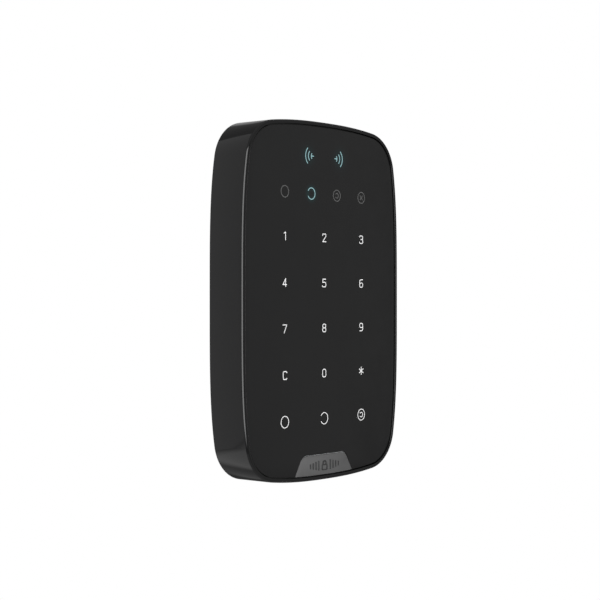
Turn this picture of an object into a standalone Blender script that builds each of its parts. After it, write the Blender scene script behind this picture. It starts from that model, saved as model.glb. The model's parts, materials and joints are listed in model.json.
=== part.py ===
"""Wall-mounted RFID card reader with a touch keypad, built from its separate pieces.

Metres, +Z up. The front faces -Y and the wall is the plane y = 0. The origin is the centre of
the wall bracket's back face. A "depth" is a distance from the wall towards the front, so a
point at a depth lies at y = -depth. Outlines are lists of (x, z) points.
"""

import math

import bmesh
import bpy
from mathutils import Matrix, Vector

MM = 0.001

# Driving dimensions.
WIDTH = 113.0 * MM
HEIGHT = 165.0 * MM
DEPTH = 20.0 * MM
SIDE_BOW = 7.66 * MM
SIDE_POWER = 3.77
END_BOW = 5.57 * MM
END_POWER = 2.5
CORNER_RADIUS = 19.7 * MM
GAP = 0.3 * MM

# Steps along one quarter of the outline.
SIDE_STEPS = 8
CORNER_STEPS = 9
END_STEPS = 7
CORNER_ROUNDS = 40

# Thicknesses, from the wall to the front.
BRACKET_THICKNESS = 1.5 * MM
COVER_THICKNESS = 1.0 * MM
CELL_RADIUS = 7.1 * MM
TOUCH_BOARD_THICKNESS = 0.4 * MM
FILM_THICKNESS = 0.3 * MM
PANEL_THICKNESS = 0.6 * MM

# The depth stack that follows from them.
COVER_BACK = BRACKET_THICKNESS + GAP
COVER_FRONT = COVER_BACK + COVER_THICKNESS
CELL_DEPTH = COVER_FRONT + GAP + CELL_RADIUS
TOUCH_BOARD_BACK = CELL_DEPTH + CELL_RADIUS + GAP
TOUCH_BOARD_FRONT = TOUCH_BOARD_BACK + TOUCH_BOARD_THICKNESS
FILM_BACK = TOUCH_BOARD_FRONT + GAP
FILM_FRONT = FILM_BACK + FILM_THICKNESS
PANEL_BACK = FILM_FRONT + GAP
PANEL_FRONT = PANEL_BACK + PANEL_THICKNESS

# Housing section: insets are measured inwards from the outline.
WALL = 2.0 * MM
LIP_WIDTH = 1.8 * MM
FRONT_EDGE_RADIUS = 0.9 * MM
BACK_EDGE_RADIUS = 0.3 * MM
RIM_GAP = 0.1 * MM
EDGE_STEPS = 4
LEDGE_INSET = 8.5 * MM
LEDGE_THICKNESS = 1.2 * MM
PANEL_INSET = 2.3 * MM
PANEL_CHAMFER = 0.15 * MM
ADHESIVE_INSETS = (2.8 * MM, 8.0 * MM)
INNER_INSET = LEDGE_INSET + GAP
COVER_INSET = WALL + GAP

# Badge in the lower edge of the front.
BADGE_TOP = -71.0 * MM
BADGE_TOP_HALF = 15.6 * MM
BADGE_BOTTOM_HALF = 20.7 * MM
BADGE_CORNER = 4.5 * MM
BADGE_GROOVE = 0.35 * MM
BADGE_STEPS = 6

# Wall bracket, its hooks and the lip that takes the holding screw.
BRACKET_HALF = 47.0 * MM
BRACKET_TOP = 74.0 * MM
BRACKET_BOTTOM = -69.0 * MM
BRACKET_CORNER = 20.0 * MM
SLIDE_TRAVEL = 7.0 * MM
HOOK_X = 38.0 * MM
HOOK_TOPS = (46.0 * MM, -34.0 * MM)
HOOK_HALF = 3.0 * MM
HOOK_STEM = 2.0 * MM
HOOK_FINGER = 6.0 * MM
HOOK_THICKNESS = 1.5 * MM
LIP_HALF = 9.4 * MM
LIP_DEPTH = 8.8 * MM
LIP_BOTTOM = -82.2 * MM
LIP_TOP = -79.9 * MM
NOTCH_CLEARANCE = 0.4 * MM
CEILING_THICKNESS = 1.3 * MM
WALL_SLOTS = ((30.0 * MM, 58.0 * MM), (30.0 * MM, -52.0 * MM))
SLOT_LENGTH = 6.0 * MM
SLOT_RADIUS = 2.3 * MM
SLOT_SINK = 0.9 * MM
TAB_CENTRE = (-22.0 * MM, 32.0 * MM)
TAB_HALF = 11.0 * MM
TAB_SLIT = 1.0 * MM
TAB_BRIDGE = 1.6 * MM
TAB_HOLE_RISE = 5.0 * MM

# Holding screw, upright through the lip.
LOCK_DEPTH = 5.2 * MM
LOCK_RADIUS = 1.25 * MM
LOCK_HEAD_RADIUS = 2.4 * MM
LOCK_HEAD_HEIGHT = 1.4 * MM
LOCK_TIP = -74.8 * MM

# Pieces that press in from the back.
PLUNGER_AT = (-22.0 * MM, 26.0 * MM)
BUTTON_AT = (22.0 * MM, 30.0 * MM)
PLUNGER_RADIUS = 2.4 * MM
BUTTON_RADIUS = 3.0 * MM
FLANGE_WIDTH = 1.1 * MM
FLANGE_THICKNESS = 0.9 * MM
PLUNGER_TRAVEL = 1.0 * MM
BUTTON_TRAVEL = 0.8 * MM
TAMPER_SPRING_RADIUS = 3.2 * MM
TAMPER_WIRE_RADIUS = 0.2 * MM
SPRING_TURNS = 3

# Cells and their tray.
CELL_PITCH = 15.4 * MM
CELL_COLUMNS = (-1.5, -0.5, 0.5, 1.5)
CELL_LENGTH = 49.2 * MM
CELL_NUB = 1.3 * MM
CELL_CRIMP = 0.5 * MM
CELL_NUB_RADIUS = 2.75 * MM
TAB_THICKNESS = 0.4 * MM
SPRING_ROOM = 3.0 * MM
CONTACT_SPRING_RADII = (3.6 * MM, 1.8 * MM)
CONTACT_WIRE_RADIUS = 0.35 * MM
CONTACT_HALF = 4.0 * MM
TRAY_CENTRE = -40.0 * MM
TRAY_WALL = 1.5 * MM
TRAY_DEPTHS = (4.9 * MM, 15.5 * MM)
BAY_LENGTH = CELL_LENGTH + CELL_NUB + 2 * GAP + TAB_THICKNESS + SPRING_ROOM
BAY_HALF = CELL_RADIUS + GAP

# Leads from the tray to the main board.
LEAD_RADIUS = 0.6 * MM
LEAD_SPREAD = 8.0 * MM
LEAD_PITCH = 3.2 * MM
LEAD_START_DEPTH = 12.0 * MM
LEAD_PULL = 4.0 * MM

# Main board.
BOARD_BACK = 7.8 * MM
BOARD_FRONT = 9.0 * MM
BOARD_INSET = 10.0 * MM
BOARD_SPAN = (-4.0 * MM, 66.0 * MM)
BOARD_TOP_SIDE = BOARD_FRONT + GAP
BOARD_UNDER_SIDE = BOARD_BACK - GAP
SWITCH_HALF = 2.0 * MM
SWITCH_HEIGHT = 1.8 * MM
PART_CHAMFER = 0.2 * MM
# Name, (x, z) of the middle, (width, height, thickness), finish.
BOARD_PARTS = (
    ("radio_shield", (24.0 * MM, 38.0 * MM), (20.0 * MM, 16.0 * MM, 2.6 * MM), "steel"),
    ("processor_chip", (-4.0 * MM, 30.0 * MM), (10.0 * MM, 10.0 * MM, 1.2 * MM), "chip"),
    ("reader_chip", (-4.0 * MM, 50.0 * MM), (7.0 * MM, 7.0 * MM, 1.0 * MM), "chip"),
    ("flex_connector", (8.0 * MM, 8.0 * MM), (16.0 * MM, 3.6 * MM, 2.2 * MM), "white"),
    ("power_connector", (-16.0 * MM, 4.0 * MM), (7.2 * MM, 6.0 * MM, 4.0 * MM), "white"),
)
BUZZER_AT = (-28.0 * MM, 30.0 * MM)
BUZZER_RADIUS = 6.0 * MM
BUZZER_HEIGHT = 5.0 * MM
BUZZER_HOLE = 1.0 * MM
ANTENNA_X = 12.0 * MM
ANTENNA_HALF = 5.0 * MM
ANTENNA_TOP = 64.0 * MM
ANTENNA_RISE = 4.6 * MM
ANTENNA_BEND = 0.6 * MM
ANTENNA_LENGTH = 10.0 * MM
FLEX_SPAN = (2.0 * MM, 14.0 * MM)
FLEX_CLEARANCE = 1.2 * MM
FLEX_BEND = 2.0 * MM
FLEX_TOP = 20.0 * MM
FLEX_LOW = 4.0 * MM
FLEX_END = 12.0 * MM
LOW_POST = (34.0 * MM, 4.0 * MM)
HIGH_POST = (28.0 * MM, 58.0 * MM)
BOARD_POSTS = [(side * x, z) for x, z in (LOW_POST, HIGH_POST) for side in (-1, 1)]
POST_RADIUS = 2.4 * MM
PILOT_RADIUS = 1.2 * MM
SCREW_RADIUS = 0.9 * MM
SCREW_HEAD_RADIUS = 1.8 * MM
SCREW_HEAD_HEIGHT = 0.9 * MM
COVER_SCREW_LENGTH = 9.0 * MM
BOARD_SCREW_LENGTH = 5.4 * MM
COVER_SCREW_INSET = 5.4 * MM
COVER_SCREW_Z = 56.0 * MM
BOSS_RADIUS = 2.8 * MM
CUP_DEPTH = 1.1 * MM
CUP_FLOOR = 0.8 * MM

# Touch side: reader coil and lamps.
COIL_HALF = 35.5 * MM
COIL_SPAN = (41.0 * MM, 68.0 * MM)
COIL_TURNS = 4
COIL_PITCH = 1.2 * MM
COIL_WIDTH = 0.7 * MM
LAMP_DEPTHS = (TOUCH_BOARD_BACK - GAP - 0.4 * MM, TOUCH_BOARD_BACK - GAP)
FERRITE_DEPTHS = (TOUCH_BOARD_BACK - 1.3 * MM, TOUCH_BOARD_BACK - 1.0 * MM)
FERRITE_CORNER = 2.0 * MM
STATUS_LAMP_Z = 49.2 * MM
STATUS_LAMP_X = (-27.9 * MM, -9.3 * MM, 9.3 * MM, 27.9 * MM)
KEY_LAMPS = [(side * 38.0 * MM, z) for z in (18.0 * MM, -44.0 * MM) for side in (-1, 1)]
LAMP_HALF_WIDTH = 1.6 * MM
LAMP_HALF_HEIGHT = 0.8 * MM

FINISHES = {
    "shell": ((0.028, 0.028, 0.029), 0.38, 0.0),
    "panel": ((0.022, 0.022, 0.023), 0.42, 0.0),
    "badge": ((0.12, 0.12, 0.12), 0.45, 0.6),
    "bracket": ((0.05, 0.05, 0.052), 0.55, 0.0),
    "steel": ((0.62, 0.62, 0.63), 0.3, 1.0),
    "board": ((0.02, 0.16, 0.06), 0.5, 0.0),
    "chip": ((0.015, 0.015, 0.016), 0.5, 0.0),
    "copper": ((0.72, 0.33, 0.16), 0.35, 1.0),
    "film": ((0.85, 0.87, 0.88), 0.25, 0.0),
    "adhesive": ((0.05, 0.05, 0.05), 0.9, 0.0),
    "ferrite": ((0.08, 0.08, 0.085), 0.7, 0.0),
    "lamp": ((0.9, 0.88, 0.7), 0.3, 0.0),
    "tray": ((0.06, 0.06, 0.062), 0.55, 0.0),
    "cell": ((0.1, 0.22, 0.42), 0.35, 0.2),
    "gold": ((0.85, 0.62, 0.25), 0.3, 1.0),
    "flex": ((0.55, 0.3, 0.08), 0.4, 0.0),
    "red": ((0.6, 0.03, 0.03), 0.5, 0.0),
    "black": ((0.02, 0.02, 0.02), 0.5, 0.0),
    "white": ((0.8, 0.8, 0.78), 0.5, 0.0),
}


# ---------------------------------------------------------------- outlines

def side_edge(z):
    """Bowed side at height z: its x, and how far its normal leans towards the end."""
    share = z / (HEIGHT / 2)
    lean = math.atan(SIDE_BOW * SIDE_POWER / (HEIGHT / 2) * share ** (SIDE_POWER - 1))
    return WIDTH / 2 - SIDE_BOW * share ** SIDE_POWER, lean


def end_edge(x):
    """Bowed end at x: its z, and how far its normal leans towards the side."""
    share = x / (WIDTH / 2)
    lean = math.atan(END_BOW * END_POWER / (WIDTH / 2) * share ** (END_POWER - 1))
    return HEIGHT / 2 - END_BOW * share ** END_POWER, lean


def corner_fit():
    """Where the corner arc touches the side and the end, with the arc's centre and leans."""
    side_end = HEIGHT / 2 - CORNER_RADIUS
    end_end = WIDTH / 2 - CORNER_RADIUS
    for _ in range(CORNER_ROUNDS):
        side_place, side_lean = side_edge(side_end)
        end_place, end_lean = end_edge(end_end)
        centre_x = side_place - CORNER_RADIUS * math.cos(side_lean)
        centre_z = end_place - CORNER_RADIUS * math.cos(end_lean)
        side_end = centre_z + CORNER_RADIUS * math.sin(side_lean)
        end_end = centre_x + CORNER_RADIUS * math.sin(end_lean)
    return side_end, end_end, (centre_x, centre_z), (side_lean, math.pi / 2 - end_lean)


def outline(inset):
    """The reader's front outline, moved inwards by inset, anticlockwise from +X."""
    side_end, end_end, centre, (first_angle, last_angle) = corner_fit()
    quarter = []
    for step in range(SIDE_STEPS):
        z = side_end * step / SIDE_STEPS
        place, lean = side_edge(z)
        quarter.append((place - inset * math.cos(lean), z - inset * math.sin(lean)))
    for step in range(CORNER_STEPS + 1):
        angle = first_angle + (last_angle - first_angle) * step / CORNER_STEPS
        reach = CORNER_RADIUS - inset
        quarter.append((centre[0] + reach * math.cos(angle), centre[1] + reach * math.sin(angle)))
    for step in range(1, END_STEPS + 1):
        x = end_end * (1 - step / END_STEPS)
        place, lean = end_edge(x)
        quarter.append((x - inset * math.sin(lean), place - inset * math.cos(lean)))
    half = quarter + [(-x, z) for x, z in reversed(quarter[:-1])]
    return half + [(-x, -z) for x, z in half[1:-1]]


def between(points, lowest, highest):
    """An outline cut off flat below lowest and above highest."""
    return [(x, min(max(z, lowest), highest)) for x, z in points]


def arc(centre, radius, start, stop, steps):
    """Points of an arc, both ends included, angles in degrees."""
    angles = [math.radians(start + (stop - start) * step / steps) for step in range(steps + 1)]
    return [(centre[0] + radius * math.cos(a), centre[1] + radius * math.sin(a)) for a in angles]


def rounded_rectangle(left, right, bottom, top, radius, steps=6):
    """Outline of a rectangle with round corners."""
    corners = ((right, top, 0), (left, top, 90), (left, bottom, 180), (right, bottom, 270))
    points = []
    for x, z, start in corners:
        centre = (x - math.copysign(radius, x - (left + right) / 2),
                  z - math.copysign(radius, z - (bottom + top) / 2))
        points += arc(centre, radius, start, start + 90, steps)
    return points


def slot_outline(x, z, length, radius, steps=8):
    """Upright slot with round ends."""
    upper = arc((x, z + length / 2), radius, 0, 180, steps)
    lower = arc((x, z - length / 2), radius, 180, 360, steps)
    return upper + lower


def badge_outline(grow, low_end=None):
    """The badge: sloping sides, round top corners and a lower edge along the lip.

    With low_end the lower edge is a straight line at that height instead.
    """
    slope = math.atan2(BADGE_BOTTOM_HALF - BADGE_TOP_HALF, BADGE_TOP - PANEL_INSET + HEIGHT / 2)
    tangent = BADGE_CORNER * math.tan((math.pi / 2 - slope) / 2)
    centre = (BADGE_TOP_HALF - tangent, BADGE_TOP - BADGE_CORNER)
    corner = arc(centre, BADGE_CORNER + grow, math.degrees(slope), 90, BADGE_STEPS)
    lowest = PANEL_INSET - HEIGHT / 2 if low_end is None else low_end
    foot = BADGE_TOP_HALF + (BADGE_TOP - lowest) * math.tan(slope) + grow / math.cos(slope)
    if low_end is None:
        lower = [foot * step / BADGE_STEPS for step in range(BADGE_STEPS + 1)]
        right = [(x, PANEL_INSET - end_edge(x)[0]) for x in lower] + corner
    else:
        right = [(0.0, low_end), (foot, low_end)] + corner
    return right + [(-x, z) for x, z in reversed(right[1:])]


# ---------------------------------------------------------------- solids

def loft(loops, ring=False):
    """A closed skin through equal loops of points; a ring joins its last loop to its first."""
    shape = bmesh.new()
    rows = [[shape.verts.new(point) for point in loop] for loop in loops]
    pairs = list(zip(rows, rows[1:]))
    if ring:
        pairs.append((rows[-1], rows[0]))
    else:
        shape.faces.new(rows[0])
        shape.faces.new(rows[-1])
    for near, far in pairs:
        for index in range(len(near)):
            after = (index + 1) % len(near)
            shape.faces.new((near[index], near[after], far[after], far[index]))
    bmesh.ops.recalc_face_normals(shape, faces=shape.faces)
    return shape


def at_depth(points, depth):
    """Outline points placed at a depth."""
    return [(x, -depth, z) for x, z in points]


def plate(points, back, front):
    """An outline extruded between two depths."""
    return loft([at_depth(points, back), at_depth(points, front)])


def block(left, right, back, front, bottom, top):
    """A box between two depths."""
    return plate([(left, bottom), (right, bottom), (right, top), (left, top)], back, front)


def turned(profile, segments=20):
    """A turned piece on the local Z axis from (radius, height) pairs, closed at both ends."""
    angles = [2 * math.pi * step / segments for step in range(segments)]
    return loft([[(r * math.cos(a), r * math.sin(a), h) for a in angles] for r, h in profile])


def drilled(x, z, profile, segments=20):
    """A turned shape whose axis runs from the wall to the front, heights being depths."""
    angles = [2 * math.pi * step / segments for step in range(segments)]
    return loft([[(x + r * math.cos(a), -h, z + r * math.sin(a)) for a in angles] for r, h in profile])


def ribbon(path, thickness, left, right):
    """A bent strip: a (depth, z) path given a thickness and carried from left to right."""
    front_side = []
    back_side = []
    for index, (depth, z) in enumerate(path):
        before = path[max(index - 1, 0)]
        after = path[min(index + 1, len(path) - 1)]
        length = math.dist(before, after)
        normal = ((before[1] - after[1]) / length, (after[0] - before[0]) / length)
        offset = thickness / 2
        front_side.append((depth + normal[0] * offset, z + normal[1] * offset))
        back_side.append((depth - normal[0] * offset, z - normal[1] * offset))
    section = front_side + back_side[::-1]
    return loft([[(x, -depth, z) for depth, z in section] for x in (left, right)])


def together(shapes):
    """Several separate shapes as one mesh, for a tool that joins or cuts in one go."""
    whole = bmesh.new()
    for shape in shapes:
        mesh = as_mesh("part_of_tool", shape)
        whole.from_mesh(mesh)
        bpy.data.meshes.remove(mesh)
    return whole


def as_mesh(name, shape):
    """The shape as a mesh."""
    mesh = bpy.data.meshes.new(name)
    shape.to_mesh(mesh)
    shape.free()
    return mesh


# ---------------------------------------------------------------- objects

def clear_scene():
    """Remove whatever objects the file holds."""
    for thing in list(bpy.data.objects):
        bpy.data.objects.remove(thing, do_unlink=True)


def finish(name, kind):
    """A material of the given kind for one piece."""
    colour, roughness, metallic = FINISHES[kind]
    material = bpy.data.materials.new(f"{name}_{kind}")
    material.use_nodes = True
    shader = material.node_tree.nodes["Principled BSDF"]
    shader.inputs["Base Color"].default_value = (*colour, 1.0)
    shader.inputs["Roughness"].default_value = roughness
    shader.inputs["Metallic"].default_value = metallic
    return material


def place(name, data, parent, location=(0.0, 0.0, 0.0), rotation=(0.0, 0.0, 0.0)):
    """An object with the given data under a parent."""
    thing = bpy.data.objects.new(name, data)
    bpy.context.scene.collection.objects.link(thing)
    thing.parent = parent
    thing.location = location
    thing.rotation_euler = rotation
    return thing


def piece(name, shape, kind, parent, location=(0.0, 0.0, 0.0), rotation=(0.0, 0.0, 0.0), smooth=True):
    """A named solid from a shape."""
    mesh = as_mesh(name, shape)
    if smooth:
        mesh.shade_smooth()
        mesh.set_sharp_from_angle(angle=math.radians(35))
    thing = place(name, mesh, parent, location, rotation)
    mesh.materials.append(finish(name, kind))
    return thing


def combine(target, shapes, operation):
    """Join shapes to a piece (UNION) or cut them out of it (DIFFERENCE)."""
    name = f"{target.name}_{operation.lower()}_{len(target.modifiers)}"
    tool = place(name, as_mesh(name, together(shapes)), None)
    tool.hide_render = True
    tool.display_type = "WIRE"
    modifier = target.modifiers.new(name, "BOOLEAN")
    modifier.operation = operation
    modifier.solver = "EXACT"
    modifier.object = tool


def soften(target, width):
    """A small chamfer on all edges."""
    modifier = target.modifiers.new("chamfer", "BEVEL")
    modifier.width = width
    modifier.segments = 1


def wire(name, points, radius, kind, parent, location=(0.0, 0.0, 0.0), rotation=(0.0, 0.0, 0.0)):
    """A round wire through the points."""
    curve = bpy.data.curves.new(name, "CURVE")
    curve.dimensions = "3D"
    curve.bevel_depth = radius
    curve.bevel_resolution = 1
    curve.use_fill_caps = True
    spline = curve.splines.new("POLY")
    spline.points.add(len(points) - 1)
    for knot, point in zip(spline.points, points):
        knot.co = (*point, 1.0)
    curve.materials.append(finish(name, kind))
    return place(name, curve, parent, location, rotation)


def coil(first_radius, last_radius, turns, height, steps=10):
    """Points of a coil spring about the local Z axis."""
    points = []
    for step in range(round(turns * steps) + 1):
        share = step / (turns * steps)
        angle = 2 * math.pi * step / steps
        radius = first_radius + (last_radius - first_radius) * share
        points.append((radius * math.cos(angle), radius * math.sin(angle), height * share))
    return points


def bend(start, start_pull, end_pull, end, steps=9):
    """Points of a smooth curve from start to end, leaving and arriving towards the pulls."""
    points = []
    for step in range(steps + 1):
        t = step / steps
        weights = ((1 - t) ** 3, 3 * t * (1 - t) ** 2, 3 * t * t * (1 - t), t ** 3)
        corners = (start, start_pull, end_pull, end)
        points.append(tuple(sum(w * c[axis] for w, c in zip(weights, corners)) for axis in range(3)))
    return points


# ---------------------------------------------------------------- wall bracket

def hook(x, top):
    """A hook that reaches through the rear cover and points up behind it."""
    reach = COVER_FRONT + GAP
    section = [
        (BRACKET_THICKNESS / 2, top - HOOK_STEM),
        (reach + HOOK_THICKNESS, top - HOOK_STEM),
        (reach + HOOK_THICKNESS, top + HOOK_FINGER),
        (reach, top + HOOK_FINGER),
        (reach, top),
        (BRACKET_THICKNESS / 2, top),
    ]
    sides = (x - HOOK_HALF, x + HOOK_HALF)
    return loft([[(side, -depth, z) for depth, z in section] for side in sides])


def bottom_lip():
    """The tongue below the plate and the lip that turns forward under the housing."""
    section = [
        (0.0, BRACKET_BOTTOM + HOOK_STEM),
        (0.0, LIP_BOTTOM),
        (LIP_DEPTH, LIP_BOTTOM),
        (LIP_DEPTH, LIP_TOP),
        (BRACKET_THICKNESS, LIP_TOP),
        (BRACKET_THICKNESS, BRACKET_BOTTOM + HOOK_STEM),
    ]
    return loft([[(side, -depth, z) for depth, z in section] for side in (-LIP_HALF, LIP_HALF)])


def wall_slot(x, z):
    """Cutter for a countersunk slot that takes a wall screw."""
    wide = slot_outline(x, z, SLOT_LENGTH, SLOT_RADIUS + SLOT_SINK)
    narrow = slot_outline(x, z, SLOT_LENGTH, SLOT_RADIUS)
    return loft([
        at_depth(narrow, -GAP),
        at_depth(narrow, BRACKET_THICKNESS - SLOT_SINK),
        at_depth(wide, BRACKET_THICKNESS),
        at_depth(wide, BRACKET_THICKNESS + GAP),
    ])


def tab_slits():
    """Cutters for the weak line round the tab that breaks when the reader is torn off."""
    x, z = TAB_CENTRE
    inner = TAB_HALF - TAB_SLIT
    reach = TAB_HALF - TAB_SLIT - TAB_BRIDGE
    depths = (-GAP, BRACKET_THICKNESS + GAP)
    slits = []
    for start, stop in ((-reach, -TAB_BRIDGE / 2), (TAB_BRIDGE / 2, reach)):
        slits.append(block(x + start, x + stop, *depths, z + inner, z + TAB_HALF))
        slits.append(block(x + start, x + stop, *depths, z - TAB_HALF, z - inner))
        slits.append(block(x + inner, x + TAB_HALF, *depths, z + start, z + stop))
        slits.append(block(x - TAB_HALF, x - inner, *depths, z + start, z + stop))
    return slits


def make_bracket(parent):
    """The plate that is screwed to the wall."""
    points = rounded_rectangle(-BRACKET_HALF, BRACKET_HALF, BRACKET_BOTTOM, BRACKET_TOP, BRACKET_CORNER)
    bracket = piece("mounting_bracket", plate(points, 0.0, BRACKET_THICKNESS), "bracket", parent)
    hooks = [hook(side * HOOK_X, top) for side in (-1, 1) for top in HOOK_TOPS]
    combine(bracket, hooks, "UNION")
    combine(bracket, [bottom_lip()], "UNION")
    slots = [wall_slot(side * x, z) for side in (-1, 1) for x, z in WALL_SLOTS]
    hole = drilled(TAB_CENTRE[0], TAB_CENTRE[1] + TAB_HOLE_RISE,
                   [(SLOT_RADIUS, -GAP), (SLOT_RADIUS, BRACKET_THICKNESS + GAP)])
    combine(bracket, slots + tab_slits() + [hole], "DIFFERENCE")
    clearance = LOCK_RADIUS + GAP
    head_clearance = LOCK_HEAD_RADIUS + GAP
    seat = LIP_BOTTOM + LOCK_HEAD_HEIGHT
    bore = turned([(head_clearance, LIP_BOTTOM - GAP), (head_clearance, seat + GAP),
                   (clearance, seat + GAP), (clearance, LIP_TOP + GAP)])
    bmesh.ops.translate(bore, verts=bore.verts, vec=(0.0, -LOCK_DEPTH, 0.0))
    combine(bracket, [bore], "DIFFERENCE")


def make_holding_screw(parent):
    """The screw that locks the housing down onto the bracket."""
    length = LOCK_TIP - LIP_BOTTOM
    profile = [
        (LOCK_HEAD_RADIUS - GAP, GAP),
        (LOCK_HEAD_RADIUS, 2 * GAP),
        (LOCK_HEAD_RADIUS, LOCK_HEAD_HEIGHT),
        (LOCK_RADIUS, LOCK_HEAD_HEIGHT),
        (LOCK_RADIUS, length - LOCK_RADIUS),
        (LOCK_RADIUS / 2, length),
    ]
    screw = piece("holding_screw", turned(profile), "steel", parent, location=(0.0, -LOCK_DEPTH, LIP_BOTTOM))
    cross = cross_recess(LOCK_HEAD_RADIUS * 0.7, 0.0, LOCK_HEAD_HEIGHT * 0.6)
    bmesh.ops.translate(cross, verts=cross.verts, vec=(0.0, -LOCK_DEPTH, LIP_BOTTOM))
    combine(screw, [cross], "DIFFERENCE")


def cross_recess(reach, low, high):
    """Cutter for a cross recess about the local Z axis."""
    arm = reach * 0.28
    corner = [(reach, -arm), (reach, arm), (arm, arm)]
    points = []
    for quarter in range(4):
        turn = Matrix.Rotation(quarter * math.pi / 2, 2)
        points += [tuple(turn @ Vector(place)) for place in corner]
    return loft([[(x, y, height) for x, y in points] for height in (low, high)])


# ---------------------------------------------------------------- housing and front

def housing_section():
    """(inset, depth) pairs once round the housing's wall, lip and ledge."""
    section = []
    for step in range(3):
        angle = math.radians(45 * step)
        section.append((BACK_EDGE_RADIUS * (1 - math.sin(angle)),
                        RIM_GAP + BACK_EDGE_RADIUS * (1 - math.cos(angle))))
    for step in range(EDGE_STEPS + 1):
        angle = math.radians(90 * step / EDGE_STEPS)
        section.append((FRONT_EDGE_RADIUS * (1 - math.cos(angle)),
                        DEPTH - FRONT_EDGE_RADIUS * (1 - math.sin(angle))))
    ledge_back = TOUCH_BOARD_FRONT - LEDGE_THICKNESS
    section += [
        (LIP_WIDTH, DEPTH),
        (LIP_WIDTH, TOUCH_BOARD_FRONT),
        (LEDGE_INSET, TOUCH_BOARD_FRONT),
        (LEDGE_INSET, ledge_back),
        (WALL, ledge_back),
        (WALL, RIM_GAP),
    ]
    return section


def cover_screw_places():
    """(x, z) of the four screws that hold the rear cover."""
    x = side_edge(COVER_SCREW_Z)[0] - COVER_SCREW_INSET
    return [(side * x, end * COVER_SCREW_Z) for side in (-1, 1) for end in (-1, 1)]


def make_housing(parent):
    """Side wall, front lip and the ledge behind the panel, with bosses and the lip's notch."""
    shape = loft([at_depth(outline(inset), depth) for inset, depth in housing_section()], ring=True)
    housing = piece("front_housing", shape, "shell", parent)
    boss_back = COVER_FRONT + CUP_DEPTH + GAP
    ledge_middle = TOUCH_BOARD_FRONT - LEDGE_THICKNESS / 2
    bosses = [drilled(x, z, [(BOSS_RADIUS, boss_back), (BOSS_RADIUS, ledge_middle)])
              for x, z in cover_screw_places()]
    badge_shelf = block(-BADGE_BOTTOM_HALF - WALL, BADGE_BOTTOM_HALF + WALL,
                        ledge_middle - GAP, ledge_middle + GAP, BADGE_TOP - 3 * WALL, BADGE_TOP + 2 * WALL)
    ceiling_bottom = LIP_TOP + NOTCH_CLEARANCE
    ceiling_top = ceiling_bottom + CEILING_THICKNESS
    notch_half = LIP_HALF + NOTCH_CLEARANCE
    notch_depth = LIP_DEPTH + NOTCH_CLEARANCE
    pocket = block(-notch_half - WALL, notch_half + WALL, COVER_FRONT + GAP, notch_depth + WALL,
                   WALL / 2 - HEIGHT / 2, ceiling_top)
    combine(housing, bosses + [badge_shelf, pocket], "UNION")
    pilots = [drilled(x, z, [(PILOT_RADIUS, boss_back - GAP), (PILOT_RADIUS, ledge_middle - WALL)])
              for x, z in cover_screw_places()]
    notch = block(-notch_half, notch_half, -GAP, notch_depth, -HEIGHT / 2 - WALL, ceiling_bottom)
    combine(housing, pilots + [notch], "DIFFERENCE")
    bore_radius = LOCK_RADIUS + 1.5 * GAP
    bore = turned([(bore_radius, ceiling_bottom - GAP), (bore_radius, ceiling_top + GAP)])
    bmesh.ops.translate(bore, verts=bore.verts, vec=(0.0, -LOCK_DEPTH, 0.0))
    combine(housing, [bore], "DIFFERENCE")


def make_front(parent):
    """Touch panel, badge, adhesive frame and light guide film."""
    panel_loops = [
        at_depth(outline(PANEL_INSET), PANEL_BACK),
        at_depth(outline(PANEL_INSET), PANEL_FRONT - PANEL_CHAMFER),
        at_depth(outline(PANEL_INSET + PANEL_CHAMFER), PANEL_FRONT),
    ]
    panel = piece("touch_panel", loft(panel_loops), "panel", parent)
    recess = plate(badge_outline(BADGE_GROOVE, low_end=-HEIGHT / 2 - WALL), PANEL_BACK - GAP, DEPTH)
    combine(panel, [recess], "DIFFERENCE")
    badge_loops = [
        at_depth(badge_outline(0.0), PANEL_BACK),
        at_depth(badge_outline(0.0), PANEL_FRONT),
    ]
    piece("badge", loft(badge_loops), "badge", parent)
    outer, inner = (outline(inset) for inset in ADHESIVE_INSETS)
    adhesive_loops = [
        at_depth(outer, FILM_BACK),
        at_depth(outer, FILM_FRONT),
        at_depth(inner, FILM_FRONT),
        at_depth(inner, FILM_BACK),
    ]
    piece("panel_adhesive", loft(adhesive_loops, ring=True), "adhesive", parent)
    piece("light_guide", plate(outline(INNER_INSET), FILM_BACK, FILM_FRONT), "film", parent)


# ---------------------------------------------------------------- touch side

def coil_strip():
    """A flat rectangular spiral, as the two edges of its track."""
    inner_side = []
    outer_side = []
    low, high = COIL_SPAN
    for corner in range(4 * COIL_TURNS + 1):
        shrink = COIL_PITCH * corner / 4
        across = 1 if corner % 4 in (0, 3) else -1
        up = 1 if corner % 4 in (0, 1) else -1
        x = across * (COIL_HALF - shrink)
        z = (low + high) / 2 + up * ((high - low) / 2 - shrink)
        outer_side.append((x + across * COIL_WIDTH / 2, z + up * COIL_WIDTH / 2))
        inner_side.append((x - across * COIL_WIDTH / 2, z - up * COIL_WIDTH / 2))
    return outer_side + inner_side[::-1]


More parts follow.
